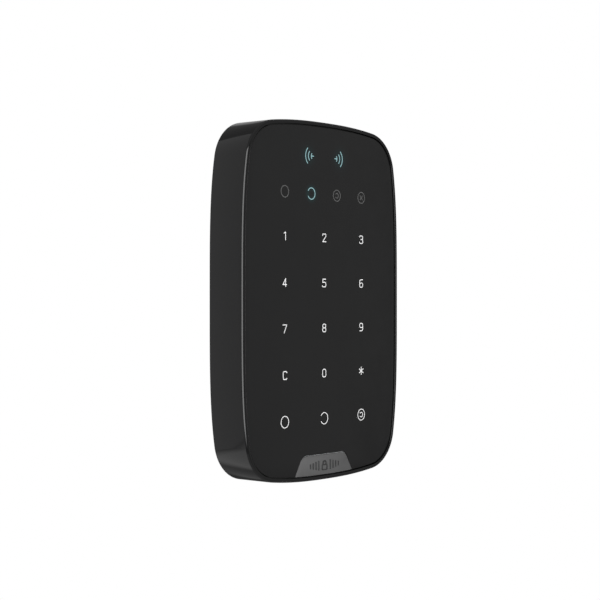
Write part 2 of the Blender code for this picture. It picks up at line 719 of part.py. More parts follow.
def make_touch_side(parent):
    """Touch board, reader coil, ferrite sheet, lamps and the flat cable to the main board."""
    board = between(outline(INNER_INSET), BADGE_TOP + 2.5 * WALL, HEIGHT / 2)
    piece("touch_board", plate(board, TOUCH_BOARD_BACK, TOUCH_BOARD_FRONT), "board", parent)
    coil_front = TOUCH_BOARD_BACK - GAP
    piece("reader_coil", plate(coil_strip(), coil_front - FILM_THICKNESS, coil_front), "copper", parent)
    sheet = rounded_rectangle(-COIL_HALF, COIL_HALF, *COIL_SPAN, FERRITE_CORNER, steps=3)
    piece("ferrite_sheet", plate(sheet, *FERRITE_DEPTHS), "ferrite", parent)
    lamps = [(f"status_lamp_{index + 1}", x, STATUS_LAMP_Z) for index, x in enumerate(STATUS_LAMP_X)]
    lamps += [(f"key_lamp_{index + 1}", x, z) for index, (x, z) in enumerate(KEY_LAMPS)]
    for name, x, z in lamps:
        shape = block(x - LAMP_HALF_WIDTH, x + LAMP_HALF_WIDTH, *LAMP_DEPTHS,
                      z - LAMP_HALF_HEIGHT, z + LAMP_HALF_HEIGHT)
        piece(name, shape, "lamp", parent, smooth=False)


# ---------------------------------------------------------------- main board

def make_main_board(parent):
    """The main board and what is soldered to it."""
    points = between(outline(BOARD_INSET), *BOARD_SPAN)
    board = piece("main_board", plate(points, BOARD_BACK, BOARD_FRONT), "board", parent)
    holes = [drilled(x, z, [(PILOT_RADIUS, BOARD_BACK - GAP), (PILOT_RADIUS, BOARD_FRONT + GAP)])
             for x, z in BOARD_POSTS]
    combine(board, holes, "DIFFERENCE")
    for name, (x, z), (width, height, thickness), kind in BOARD_PARTS:
        shape = block(x - width / 2, x + width / 2, BOARD_TOP_SIDE, BOARD_TOP_SIDE + thickness,
                      z - height / 2, z + height / 2)
        soften(piece(name, shape, kind, parent, smooth=False), PART_CHAMFER)
    for name, (x, z) in (("tamper_switch", PLUNGER_AT), ("power_switch", BUTTON_AT)):
        shape = block(x - SWITCH_HALF, x + SWITCH_HALF, BOARD_UNDER_SIDE - SWITCH_HEIGHT, BOARD_UNDER_SIDE,
                      z - SWITCH_HALF, z + SWITCH_HALF)
        soften(piece(name, shape, "chip", parent, smooth=False), PART_CHAMFER)


def make_buzzer(parent):
    """Round buzzer with a sound hole, on the main board."""
    top = BOARD_TOP_SIDE + BUZZER_HEIGHT
    profile = [
        (BUZZER_RADIUS, BOARD_TOP_SIDE),
        (BUZZER_RADIUS, top - 2 * PART_CHAMFER),
        (BUZZER_RADIUS - 2 * PART_CHAMFER, top),
        (BUZZER_HOLE, top),
        (BUZZER_HOLE, top - BUZZER_HEIGHT / 2),
    ]
    x, z = BUZZER_AT
    piece("buzzer", turned(profile), "chip", parent, (x, 0.0, z), (math.pi / 2, 0.0, 0.0))


def make_antennas(parent):
    """Two bent strips that stand on the main board and turn down over it."""
    foot = (BOARD_TOP_SIDE, ANTENNA_TOP)
    shoulder = (BOARD_TOP_SIDE + ANTENNA_RISE - ANTENNA_BEND, ANTENNA_TOP)
    bent = (BOARD_TOP_SIDE + ANTENNA_RISE, ANTENNA_TOP - ANTENNA_BEND)
    tip = (BOARD_TOP_SIDE + ANTENNA_RISE, ANTENNA_TOP - ANTENNA_LENGTH)
    for side, name in ((-1, "radio_antenna_left"), (1, "radio_antenna_right")):
        left = side * ANTENNA_X - ANTENNA_HALF
        shape = ribbon([foot, shoulder, bent, tip], TAB_THICKNESS, left, left + 2 * ANTENNA_HALF)
        piece(name, shape, "gold", parent, smooth=False)


def make_touch_flex(parent):
    """Flat cable that leaves the touch board downwards and turns back up to its connector."""
    start = TOUCH_BOARD_BACK - FLEX_CLEARANCE
    turn = arc((start - FLEX_BEND, FLEX_LOW), FLEX_BEND, 0, -180, 6)
    path = [(start, FLEX_TOP)] + turn + [(start - 2 * FLEX_BEND, FLEX_END)]
    piece("touch_flex", ribbon(path, FILM_THICKNESS, *FLEX_SPAN), "flex", parent)


# ---------------------------------------------------------------- rear cover and pressed pieces

def hook_window(x, top):
    """Cutter for the opening in the rear cover that a hook enters."""
    low = top - HOOK_STEM - GAP - SLIDE_TRAVEL
    half = HOOK_HALF + GAP
    return block(x - half, x + half, COVER_BACK - GAP, COVER_FRONT + GAP, low, top + GAP)


def make_rear_cover(parent):
    """The cover behind the electronics, with screw cups and posts for the main board."""
    loops = [
        at_depth(outline(COVER_INSET), COVER_BACK),
        at_depth(outline(COVER_INSET), COVER_FRONT),
    ]
    cover = piece("rear_cover", loft(loops), "tray", parent)
    inside = COVER_FRONT - COVER_THICKNESS / 2
    cups = [drilled(x, z, [(BOSS_RADIUS, inside), (BOSS_RADIUS, COVER_FRONT + CUP_DEPTH)])
            for x, z in cover_screw_places()]
    posts = [drilled(x, z, [(POST_RADIUS, inside), (POST_RADIUS, BOARD_UNDER_SIDE)]) for x, z in BOARD_POSTS]
    combine(cover, cups + posts, "UNION")
    seat = COVER_FRONT + CUP_DEPTH - CUP_FLOOR
    cuts = [drilled(x, z, [(SCREW_HEAD_RADIUS + GAP, COVER_BACK - GAP), (SCREW_HEAD_RADIUS + GAP, seat),
                           (PILOT_RADIUS, seat), (PILOT_RADIUS, seat + CUP_FLOOR + GAP)])
            for x, z in cover_screw_places()]
    cuts += [drilled(x, z, [(PILOT_RADIUS, COVER_FRONT + GAP), (PILOT_RADIUS, BOARD_UNDER_SIDE + GAP)])
             for x, z in BOARD_POSTS]
    cuts += [drilled(*at, [(radius + GAP, COVER_BACK - GAP), (radius + GAP, COVER_FRONT + GAP)])
             for at, radius in ((PLUNGER_AT, PLUNGER_RADIUS), (BUTTON_AT, BUTTON_RADIUS))]
    cuts += [hook_window(side * HOOK_X, top) for side in (-1, 1) for top in HOOK_TOPS]
    lip_room = LIP_HALF + WALL
    cuts.append(block(-lip_room, lip_room, COVER_BACK - GAP, COVER_FRONT + GAP,
                      -HEIGHT / 2, LIP_TOP + NOTCH_CLEARANCE))
    combine(cover, cuts, "DIFFERENCE")


def pressed_profile(radius, travel):
    """(radius, depth) pairs of a piece that shows through the cover and presses a switch."""
    flange_back = COVER_FRONT + GAP
    flange_front = flange_back + FLANGE_THICKNESS
    switch_back = BOARD_UNDER_SIDE - SWITCH_HEIGHT
    return [
        (radius - GAP / 2, COVER_BACK),
        (radius, COVER_BACK + GAP / 2),
        (radius, flange_back),
        (radius + FLANGE_WIDTH, flange_back),
        (radius + FLANGE_WIDTH, flange_front),
        (radius / 2, flange_front),
        (radius / 2, switch_back - travel - GAP),
    ]


def make_pressed_pieces(parent):
    """Tamper plunger with its spring, and the power button."""
    upright = (math.pi / 2, 0.0, 0.0)
    for name, at, radius, travel, kind in (
            ("tamper_plunger", PLUNGER_AT, PLUNGER_RADIUS, PLUNGER_TRAVEL, "white"),
            ("power_button", BUTTON_AT, BUTTON_RADIUS, BUTTON_TRAVEL, "shell")):
        shape = turned(pressed_profile(radius, travel))
        piece(name, shape, kind, parent, (at[0], 0.0, at[1]), upright)
    start = COVER_FRONT + 2 * GAP + FLANGE_THICKNESS + TAMPER_WIRE_RADIUS
    room = BOARD_BACK - GAP - PLUNGER_TRAVEL - start - TAMPER_WIRE_RADIUS
    turns = coil(TAMPER_SPRING_RADIUS, TAMPER_SPRING_RADIUS, SPRING_TURNS, room)
    spring = [(x, y, start + height) for x, y, height in turns]
    x, z = PLUNGER_AT
    wire("tamper_spring", spring, TAMPER_WIRE_RADIUS, "steel", parent, (x, 0.0, z), upright)


# ---------------------------------------------------------------- power

def make_tray(parent):
    """The frame that holds four cells side by side."""
    half_width = len(CELL_COLUMNS) * CELL_PITCH / 2 + TRAY_WALL - (CELL_PITCH - 2 * BAY_HALF) / 2
    half_height = BAY_LENGTH / 2 + TRAY_WALL
    shape = block(-half_width, half_width, *TRAY_DEPTHS, TRAY_CENTRE - half_height, TRAY_CENTRE + half_height)
    tray = piece("battery_tray", shape, "tray", parent, smooth=False)
    bays = []
    for column in CELL_COLUMNS:
        x = column * CELL_PITCH
        bays.append(block(x - BAY_HALF, x + BAY_HALF, TRAY_DEPTHS[0] - GAP, TRAY_DEPTHS[1] + GAP,
                          TRAY_CENTRE - BAY_LENGTH / 2, TRAY_CENTRE + BAY_LENGTH / 2))
    combine(tray, bays, "DIFFERENCE")


def make_cells(parent):
    """Four cells, every other one upside down, each between a spring and a contact tab."""
    profile = [
        (CELL_RADIUS - CELL_CRIMP, 0.0),
        (CELL_RADIUS, CELL_CRIMP),
        (CELL_RADIUS, CELL_LENGTH - CELL_CRIMP),
        (CELL_RADIUS - CELL_CRIMP, CELL_LENGTH),
        (CELL_NUB_RADIUS, CELL_LENGTH),
        (CELL_NUB_RADIUS, CELL_LENGTH + CELL_NUB),
    ]
    coil_height = SPRING_ROOM - 2 * GAP - 2 * CONTACT_WIRE_RADIUS
    for index, column in enumerate(CELL_COLUMNS):
        x = column * CELL_PITCH
        up = 1 if index % 2 == 0 else -1
        turn = (0.0, 0.0, 0.0) if up == 1 else (math.pi, 0.0, 0.0)
        bay_end = TRAY_CENTRE - up * BAY_LENGTH / 2
        number = index + 1
        cell_start = (x, -CELL_DEPTH, bay_end + up * SPRING_ROOM)
        piece(f"battery_{number}", turned(profile), "cell", parent, cell_start, turn)
        points = coil(*CONTACT_SPRING_RADII, SPRING_TURNS, coil_height)
        spring_start = (x, -CELL_DEPTH, bay_end + up * (GAP + CONTACT_WIRE_RADIUS))
        wire(f"contact_spring_{number}", points, CONTACT_WIRE_RADIUS, "steel", parent, spring_start, turn)
        tab_end = TRAY_CENTRE + up * BAY_LENGTH / 2 - up * GAP
        tab_start = tab_end - up * TAB_THICKNESS
        shape = block(x - CONTACT_HALF, x + CONTACT_HALF,
                      CELL_DEPTH - CONTACT_HALF, CELL_DEPTH + CONTACT_HALF,
                      min(tab_start, tab_end), max(tab_start, tab_end))
        piece(f"contact_tab_{number}", shape, "steel", parent, smooth=False)


def make_power_leads(parent):
    """The two leads from the tray to the connector on the main board."""
    tray_top = TRAY_CENTRE + BAY_LENGTH / 2 + TRAY_WALL + GAP
    _, (connector_x, connector_z), (_, connector_height, connector_thickness), _ = BOARD_PARTS[-1]
    plug_bottom = connector_z - connector_height / 2 - GAP
    plug_depth = BOARD_TOP_SIDE + connector_thickness / 2
    for name, kind, side in (("positive_lead", "red", -1), ("negative_lead", "black", 1)):
        start_x = connector_x + side * LEAD_SPREAD
        end_x = connector_x + side * LEAD_PITCH / 2
        start = (start_x, -LEAD_START_DEPTH, tray_top)
        end = (end_x, -plug_depth, plug_bottom)
        start_pull = (start_x, -LEAD_START_DEPTH, tray_top + LEAD_PULL)
        end_pull = (end_x, -plug_depth, plug_bottom - LEAD_PULL)
        wire(name, bend(start, start_pull, end_pull, end), LEAD_RADIUS, kind, parent)


# ---------------------------------------------------------------- screws

def pan_screw_mesh(length):
    """A small pan head screw with a cross recess, head at zero, shank along local +Z."""
    profile = [
        (SCREW_HEAD_RADIUS - GAP, 0.0),
        (SCREW_HEAD_RADIUS, GAP),
        (SCREW_HEAD_RADIUS, SCREW_HEAD_HEIGHT),
        (SCREW_RADIUS, SCREW_HEAD_HEIGHT),
        (SCREW_RADIUS, length - SCREW_RADIUS),
        (SCREW_RADIUS / 3, length),
    ]
    model = piece("screw_model", turned(profile, segments=12), "steel", None)
    cutter = cross_recess(SCREW_HEAD_RADIUS * 0.6, -GAP, SCREW_HEAD_HEIGHT * 0.6)
    combine(model, [cutter], "DIFFERENCE")
    depsgraph = bpy.context.evaluated_depsgraph_get()
    mesh = bpy.data.meshes.new_from_object(model.evaluated_get(depsgraph))
    tool = model.modifiers[0].object
    bpy.data.objects.remove(model)
    bpy.data.objects.remove(tool)
    return mesh


def make_screws(parent):
    """Rear cover screws, driven from the back, and board screws, driven from the front."""
    seat = COVER_FRONT + CUP_DEPTH - CUP_FLOOR - GAP
    cover_mesh = pan_screw_mesh(COVER_SCREW_LENGTH)
    head_back = seat - SCREW_HEAD_HEIGHT
    for index, (x, z) in enumerate(cover_screw_places()):
        place(f"cover_screw_{index + 1}", cover_mesh, parent, (x, -head_back, z), (math.pi / 2, 0.0, 0.0))
    board_mesh = pan_screw_mesh(BOARD_SCREW_LENGTH)
    head_front = BOARD_TOP_SIDE + SCREW_HEAD_HEIGHT
    for index, (x, z) in enumerate(BOARD_POSTS):
        place(f"board_screw_{index + 1}", board_mesh, parent, (x, -head_front, z), (-math.pi / 2, 0.0, 0.0))


# ---------------------------------------------------------------- assembly

def main():
    """Build the bracket side and the keypad side."""
    clear_scene()
    wall_side = place("wall_side", None, None)
    keypad_side = place("keypad_side", None, None)
    make_bracket(wall_side)
    make_holding_screw(wall_side)
    make_housing(keypad_side)
    make_front(keypad_side)
    make_touch_side(keypad_side)
    make_main_board(keypad_side)
    make_buzzer(keypad_side)
    make_antennas(keypad_side)
    make_touch_flex(keypad_side)
    make_rear_cover(keypad_side)
    make_pressed_pieces(keypad_side)
    make_tray(keypad_side)
    make_cells(keypad_side)
    make_power_leads(keypad_side)
    make_screws(keypad_side)


main()
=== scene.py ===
"""Looks of a wall-mounted RFID card reader with a touch keypad.

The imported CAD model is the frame. The front pieces are rebuilt as finer meshes over it, the marks
on the panel are added, and every shown piece gets a procedural material. Metres, +Z up, the front
faces -Y and the wall is y = 0. A depth is a distance from the wall, so it lies at y = -depth.
Outlines are lists of (x, z) points.
"""

import json
import math

import bmesh
import bpy
from mathutils import Matrix, Vector


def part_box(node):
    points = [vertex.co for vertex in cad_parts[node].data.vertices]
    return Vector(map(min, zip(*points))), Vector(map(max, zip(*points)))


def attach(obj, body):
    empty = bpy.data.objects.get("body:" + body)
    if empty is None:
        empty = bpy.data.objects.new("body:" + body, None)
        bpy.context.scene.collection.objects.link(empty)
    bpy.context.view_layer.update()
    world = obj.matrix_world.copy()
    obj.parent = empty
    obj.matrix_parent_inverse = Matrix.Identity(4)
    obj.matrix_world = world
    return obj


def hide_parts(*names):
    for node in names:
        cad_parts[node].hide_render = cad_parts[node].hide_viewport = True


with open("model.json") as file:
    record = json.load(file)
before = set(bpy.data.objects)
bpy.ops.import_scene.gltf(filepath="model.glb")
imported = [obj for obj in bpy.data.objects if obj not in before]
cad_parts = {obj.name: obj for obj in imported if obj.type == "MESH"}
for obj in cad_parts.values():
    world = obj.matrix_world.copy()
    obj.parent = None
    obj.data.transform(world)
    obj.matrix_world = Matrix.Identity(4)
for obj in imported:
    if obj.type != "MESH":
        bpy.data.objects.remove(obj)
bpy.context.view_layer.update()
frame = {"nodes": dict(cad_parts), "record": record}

NODES = frame["nodes"]
MM = 0.001

# Outline of the reader. Its size comes from the frame and its shape follows the CAD model's rule.
HOUSING_LOW, HOUSING_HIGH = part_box("front_housing")
HALF_WIDTH = HOUSING_HIGH.x
HALF_HEIGHT = HOUSING_HIGH.z
FRONT = -HOUSING_LOW.y
RIM = -HOUSING_HIGH.y
SIDE_BOW = 7.66 * MM
SIDE_POWER = 3.77
END_BOW = 5.57 * MM
END_POWER = 2.5
CORNER_RADIUS = 19.7 * MM
CORNER_ROUNDS = 40
SIDE_STEPS = 20
CORNER_STEPS = 24
END_STEPS = 16

# Housing section, insets from the outline.
GAP = 0.3 * MM
WALL = 2.0 * MM
LIP_WIDTH = 1.8 * MM
FRONT_EDGE = 0.9 * MM
LIP_INNER_EDGE = 0.12 * MM
BACK_EDGE = 0.3 * MM
LEDGE_INSET = 8.5 * MM
LEDGE_THICKNESS = 1.2 * MM
BORE_RADIUS = 1.7 * MM
NOTCH_CLEARANCE = 0.4 * MM
NOTCH_HALF = 9.8 * MM
NOTCH_FRONT = 9.2 * MM
LIP_THICKNESS = 2.3 * MM
CEILING = 1.3 * MM
COVER_FRONT = 2.8 * MM
LOCK_DEPTH = 5.2 * MM

# Front pieces.
PANEL_LOW, PANEL_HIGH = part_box("touch_panel")
PANEL_FRONT = -PANEL_LOW.y
PANEL_BACK = -PANEL_HIGH.y
PANEL_INSET = HALF_WIDTH - PANEL_HIGH.x
PANEL_EDGE = 0.18 * MM
BADGE_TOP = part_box("badge")[1].z
BADGE_BOTTOM_HALF = 20.7 * MM
BADGE_TOP_HALF = 15.6 * MM
BADGE_CORNER = 4.5 * MM
BADGE_GROOVE = 0.35 * MM
BADGE_EDGE = 0.12 * MM

# Raised padlock between upright bars on the badge.
MARK_HEIGHT = 0.35 * MM
MARK_MIDDLE = -75.9 * MM
MARK_WIDTH = 0.42 * MM

# Where the marks on the panel are.
COLUMN = 27.9 * MM
KEY_ROWS = (29.2 * MM, 8.3 * MM, -12.5 * MM, -33.4 * MM)
FUNCTION_ROW = -54.3 * MM
STATUS_ROW = 49.2 * MM
STATUS_COLUMN = 9.3 * MM
WAVE_ROW = 66.4 * MM
KEY_STROKE = 0.4 * MM
FUNCTION_STROKE = 0.36 * MM
STATUS_STROKE = 0.4 * MM
WAVE_STROKE = 0.44 * MM
FUNCTION_RADIUS = 2.62
STATUS_RADIUS = 2.6
MARK_RISE = 0.02 * MM
MARK_ROOT = 0.04 * MM

# Studio: the floor's height and half width, and the dark room's radius and faint light.
FLOOR = -0.45
FLOOR_HALF = 3.0
ROOM_RADIUS = 8.0
ROOM_LIGHT = 0.06

# Camera.
AZIMUTH = math.radians(-49.82)
ELEVATION = math.radians(0.06)
DISTANCE = 679.5 * MM
LENS = 87.28
SENSOR_WIDTH = 36.0
AIM = Vector((-2.56 * MM, -6.97 * MM, 0.43 * MM))


# ---------------------------------------------------------------- outlines

def side_edge(z):
    """Bowed side at height z: its x, and how far its normal leans towards the end."""
    share = z / HALF_HEIGHT
    lean = math.atan(SIDE_BOW * SIDE_POWER / HALF_HEIGHT * share ** (SIDE_POWER - 1))
    return HALF_WIDTH - SIDE_BOW * share ** SIDE_POWER, lean


def end_edge(x):
    """Bowed end at x: its z, and how far its normal leans towards the side."""
    share = x / HALF_WIDTH
    lean = math.atan(END_BOW * END_POWER / HALF_WIDTH * share ** (END_POWER - 1))
    return HALF_HEIGHT - END_BOW * share ** END_POWER, lean


def corner_fit():
    """Where the corner arc touches the side and the end, with the arc's centre and leans."""
    side_end = HALF_HEIGHT - CORNER_RADIUS
    end_end = HALF_WIDTH - CORNER_RADIUS
    for _ in range(CORNER_ROUNDS):
        side_place, side_lean = side_edge(side_end)
        end_place, end_lean = end_edge(end_end)
        centre_x = side_place - CORNER_RADIUS * math.cos(side_lean)
        centre_z = end_place - CORNER_RADIUS * math.cos(end_lean)
        side_end = centre_z + CORNER_RADIUS * math.sin(side_lean)
        end_end = centre_x + CORNER_RADIUS * math.sin(end_lean)
    return side_end, end_end, (centre_x, centre_z), (side_lean, math.pi / 2 - end_lean)


def outline(inset):
    """The reader's front outline, moved inwards by inset, anticlockwise from +X."""
    side_end, end_end, centre, (first_angle, last_angle) = corner_fit()
    quarter = []
    for step in range(SIDE_STEPS):
        z = side_end * step / SIDE_STEPS
        place, lean = side_edge(z)
        quarter.append((place - inset * math.cos(lean), z - inset * math.sin(lean)))
    for step in range(CORNER_STEPS + 1):
        angle = first_angle + (last_angle - first_angle) * step / CORNER_STEPS
        reach = CORNER_RADIUS - inset
        quarter.append((centre[0] + reach * math.cos(angle), centre[1] + reach * math.sin(angle)))
    for step in range(1, END_STEPS + 1):
        x = end_end * (1 - step / END_STEPS)
        place, lean = end_edge(x)
        quarter.append((x - inset * math.sin(lean), place - inset * math.cos(lean)))
    half = quarter + [(-x, z) for x, z in reversed(quarter[:-1])]
    return half + [(-x, -z) for x, z in half[1:-1]]


def arc(centre, radius, start, stop, steps=12):
    """Points of an arc, both ends included, angles in degrees."""
    angles = [math.radians(start + (stop - start) * step / steps) for step in range(steps + 1)]
    return [(centre[0] + radius * math.cos(a), centre[1] + radius * math.sin(a)) for a in angles]


def badge_outline(grow, low_end=None):
    """The badge: sloping sides, round top corners and a lower edge along the lip.

    With low_end the lower edge is a straight line at that height instead.
    """
    slope = math.atan2(BADGE_BOTTOM_HALF - BADGE_TOP_HALF, BADGE_TOP - PANEL_INSET + HALF_HEIGHT)
    tangent = BADGE_CORNER * math.tan((math.pi / 2 - slope) / 2)
    centre = (BADGE_TOP_HALF - tangent, BADGE_TOP - BADGE_CORNER)
    corner = arc(centre, BADGE_CORNER + grow, math.degrees(slope), 90)
    if low_end is None:
        lowest = PANEL_INSET - HALF_HEIGHT - grow
    else:
        lowest = low_end
    foot = BADGE_TOP_HALF + (BADGE_TOP - lowest) * math.tan(slope) + grow / math.cos(slope)
    if low_end is None:
        lower = [foot * step / 12 for step in range(13)]
        right = [(x, PANEL_INSET - end_edge(x)[0] - grow) for x in lower] + corner
    else:
        right = [(0.0, low_end), (foot, low_end)] + corner
    return right + [(-x, z) for x, z in reversed(right[1:])]


# ---------------------------------------------------------------- meshes

def at_depth(points, depth):
    """Outline points placed at a depth."""
    return [(x, -depth, z) for x, z in points]


def loft(loops, ring=False):
    """A closed skin through equal loops of points; a ring joins its last loop to its first."""
    shape = bmesh.new()
    rows = [[shape.verts.new(point) for point in loop] for loop in loops]
    pairs = list(zip(rows, rows[1:]))
    if ring:
        pairs.append((rows[-1], rows[0]))
    else:
        shape.faces.new(rows[0])
        shape.faces.new(rows[-1])
    for near, far in pairs:
        for index in range(len(near)):
            after = (index + 1) % len(near)
            shape.faces.new((near[index], near[after], far[after], far[index]))
    bmesh.ops.recalc_face_normals(shape, faces=shape.faces)
    return shape


def block(left, right, back, front, bottom, top):
    """A box between two depths."""
    corners = [(left, bottom), (right, bottom), (right, top), (left, top)]
    return loft([at_depth(corners, back), at_depth(corners, front)])


def rod(x, depth, radius, bottom, top, sides=32):
    """An upright round rod."""
    angles = [2 * math.pi * step / sides for step in range(sides)]
    loops = [[(x + radius * math.cos(a), radius * math.sin(a) - depth, z) for a in angles]
             for z in (bottom, top)]
    return loft(loops)


def new_object(name, shape):
    """An object that holds the shape, flat shaded."""
    mesh = bpy.data.meshes.new(name)
    shape.to_mesh(mesh)
    shape.free()
    thing = bpy.data.objects.new(name, mesh)
    bpy.context.scene.collection.objects.link(thing)
    return thing


def combine(target, shape, operation):
    """Join a shape to an object (UNION) or cut it out (DIFFERENCE), at once."""
    tool = new_object("tool", shape)
    modifier = target.modifiers.new("combine", "BOOLEAN")
    modifier.operation = operation
    modifier.solver = "EXACT"
    modifier.object = tool
    depsgraph = bpy.context.evaluated_depsgraph_get()
    result = bpy.data.meshes.new_from_object(target.evaluated_get(depsgraph))
    target.modifiers.clear()
    edge_highlight = target.data
    target.data = result
    bpy.data.meshes.remove(edge_highlight)
    bpy.data.meshes.remove(tool.data)
    result.name = target.name


def smooth(thing, angle=32):
    """Smooth shading but for edges sharper than the angle."""
    thing.data.shade_smooth()
    thing.data.set_sharp_from_angle(angle=math.radians(angle))


def piece(thing, material, body="keypad", stands_for=()):
    """Finish a piece: its material, the body it rides on and the nodes it replaces."""
    thing.data.materials.clear()
    thing.data.materials.append(material)
    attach(thing, body)
    if stands_for:
        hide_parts(*stands_for)
    return thing


# ---------------------------------------------------------------- strokes

def rounded_path(points, radius, closed=False):
    """A polyline with its corners rounded, as far as its legs leave room."""
    path = []
    count = len(points)
    for index, point in enumerate(points):
        if not closed and index in (0, count - 1):
            path.append(point)
            continue
        here = Vector(point)
        back = Vector(points[index - 1]) - here
        ahead = Vector(points[(index + 1) % count]) - here
        turn = math.pi - back.angle(ahead)
        tangent = min(radius * math.tan(turn / 2), 0.5 * back.length, 0.5 * ahead.length)
        bend = tangent / math.tan(turn / 2)
        middle = (back.normalized() + ahead.normalized()).normalized()
        centre = here + middle * (bend / math.cos(turn / 2))
        start = here + back.normalized() * tangent - centre
        stop = here + ahead.normalized() * tangent - centre
        sweep = math.atan2(start.x * stop.y - start.y * stop.x, start.dot(stop))
        steps = max(2, round(abs(sweep) / math.radians(12)))
        for step in range(steps + 1):
            spoke = Matrix.Rotation(sweep * step / steps, 2) @ start
            path.append((centre.x + spoke.x, centre.y + spoke.y))
    return path


def end_cap(centre, first, steps=8):
    """Points of a half circle from first round centre, clockwise, both ends left out."""
    spoke = first - Vector(centre)
    turns = [Matrix.Rotation(-math.pi * step / steps, 2) @ spoke for step in range(1, steps)]
    return [tuple(Vector(centre) + turn) for turn in turns]


def stroke(path, width, depths, closed=False):
    """A flat line of the given width along a path, with round ends, as a solid between two depths."""
    count = len(path)
    left = []
    right = []
    for index, point in enumerate(path):
        before = path[index - 1] if closed else path[max(index - 1, 0)]
        after = path[(index + 1) % count] if closed else path[min(index + 1, count - 1)]
        along = (Vector(after) - Vector(before)).normalized()
        side = Vector((-along.y, along.x)) * (width / 2)
        left.append(Vector(point) + side)
        right.append(Vector(point) - side)
    back, front = depths
    if closed:
        loops = [at_depth(left, back), at_depth(left, front), at_depth(right, front), at_depth(right, back)]
        return loft(loops, ring=True)
    points = left + end_cap(path[-1], left[-1]) + right[::-1] + end_cap(path[0], right[0])
    return loft([at_depth(points, back), at_depth(points, front)])


def draw(name, strokes, centre, width, depths):
    """One object from several strokes, given in millimetres about a centre.

    Each stroke is (points, corner radius, closed).
    """
    thing = None
    for points, radius, closed in strokes:
        placed = [(centre[0] + x * MM, centre[1] + z * MM) for x, z in points]
        if radius:
            placed = rounded_path(placed, radius * MM, closed)
        shape = stroke(placed, width, depths, closed)
        if thing is None:
            thing = new_object(name, shape)
        else:
            combine(thing, shape, "UNION")
    return thing


def box_path(left, right, bottom, top):
    """Corners of an upright rectangle."""
    return [(right, bottom), (right, top), (left, top), (left, bottom)]


def glyph(character):
    """Strokes of a keypad character, in millimetres about its centre."""
    top = 1.78
    six = [(box_path(-1.2, 1.2, -top, 0.25), 0.85, True),
           ([(1.1, top), (-1.2, top), (-1.2, -0.75)], 1.1, False)]
    arms = [math.radians(angle) for angle in (90, 32, 148)]
    glyphs = {
        "0": [(box_path(-1.2, 1.2, -top, top), 0.95, True)],
        "1": [([(-0.6, 1.25), (0.45, top)], 0, False), ([(0.45, top), (0.45, -top)], 0, False)],
        "2": [([(-1.2, 1.1), (-1.2, top), (1.2, top), (1.2, 0.75), (-1.15, -top)], 0.7, False),
              ([(-1.15, -top), (1.25, -top)], 0, False)],
        "3": [([(-1.2, 1.25), (-1.1, top), (1.15, top), (1.15, 0.1), (-0.3, 0.1)], 0.8, False),
              ([(-0.3, 0.1), (1.2, 0.1), (1.2, -top), (-1.15, -top), (-1.3, -1.2)], 0.8, False)],
        "4": [([(0.5, top), (-1.3, -0.95)], 0, False), ([(-1.3, -0.95), (1.3, -0.95)], 0, False),
              ([(0.5, top), (0.5, -top)], 0, False)],
        "5": [([(1.1, top), (-0.95, top)], 0, False), ([(-0.95, top), (-1.1, 0.3)], 0, False),
              ([(-1.1, 0.3), (1.2, 0.4), (1.2, -top), (-1.15, -top), (-1.35, -1.2)], 0.8, False)],
        "6": six,
        "7": [([(-1.3, top), (1.3, top)], 0, False), ([(1.3, top), (-0.45, -top)], 0, False)],
        "8": [(box_path(-1.1, 1.1, 0.05, top), 0.8, True), (box_path(-1.2, 1.2, -top, 0.05), 0.85, True)],
        "9": [([(-x, -z) for x, z in points], radius, closed) for points, radius, closed in six],
        "C": [([(1.35, 1.25), (1.0, top), (-1.15, top),
                (-1.15, -top), (1.0, -top), (1.35, -1.25)], 0.7, False)],
        "*": [([(top * math.cos(a), top * math.sin(a)), (-top * math.cos(a), -top * math.sin(a))], 0, False)
              for a in arms],
    }
    return glyphs[character]


def ring(radius, gap=0):
    """A ring about the origin, open on the left by a gap in degrees."""
    if gap:
        return [(arc((0.0, 0.0), radius, gap / 2 - 180, 180 - gap / 2, 32), 0, False)]
    return [(arc((0.0, 0.0), radius, 0, 350, 35), 0, True)]


def waves(side):
    """Three arcs and a short dash that point at the middle of the panel, on one side of it."""
    arcs = ((8.65, 4.75, 46), (8.6, 2.85, 44), (7.6, 1.8, 38))
    strokes = [([(side * x, z) for x, z in arc((centre, 0.0), radius, -reach, reach)], 0, False)
               for centre, radius, reach in arcs]
    return strokes + [([(side * 7.8, 0.0), (side * 9.3, 0.0)], 0, False)]


# ---------------------------------------------------------------- front pieces

def housing_section():
    """(inset, depth) pairs once round the housing's wall, lip and ledge."""
    section = []
    for step in range(5):
        angle = math.radians(90 * step / 4)
        section.append((BACK_EDGE * (1 - math.sin(angle)), RIM + BACK_EDGE * (1 - math.cos(angle))))
    for step in range(9):
        angle = math.radians(90 * step / 8)
        section.append((FRONT_EDGE * (1 - math.cos(angle)), FRONT - FRONT_EDGE * (1 - math.sin(angle))))
    for step in range(4):
        angle = math.radians(90 * step / 3)
        section.append((LIP_WIDTH - LIP_INNER_EDGE * (1 - math.sin(angle)),
                        FRONT - LIP_INNER_EDGE * (1 - math.cos(angle))))
    ledge_front = PANEL_BACK - 3 * GAP
    ledge_back = ledge_front - LEDGE_THICKNESS
    return section + [(LIP_WIDTH, ledge_front), (LEDGE_INSET, ledge_front), (LEDGE_INSET, ledge_back),
                      (WALL, ledge_back), (WALL, RIM)]


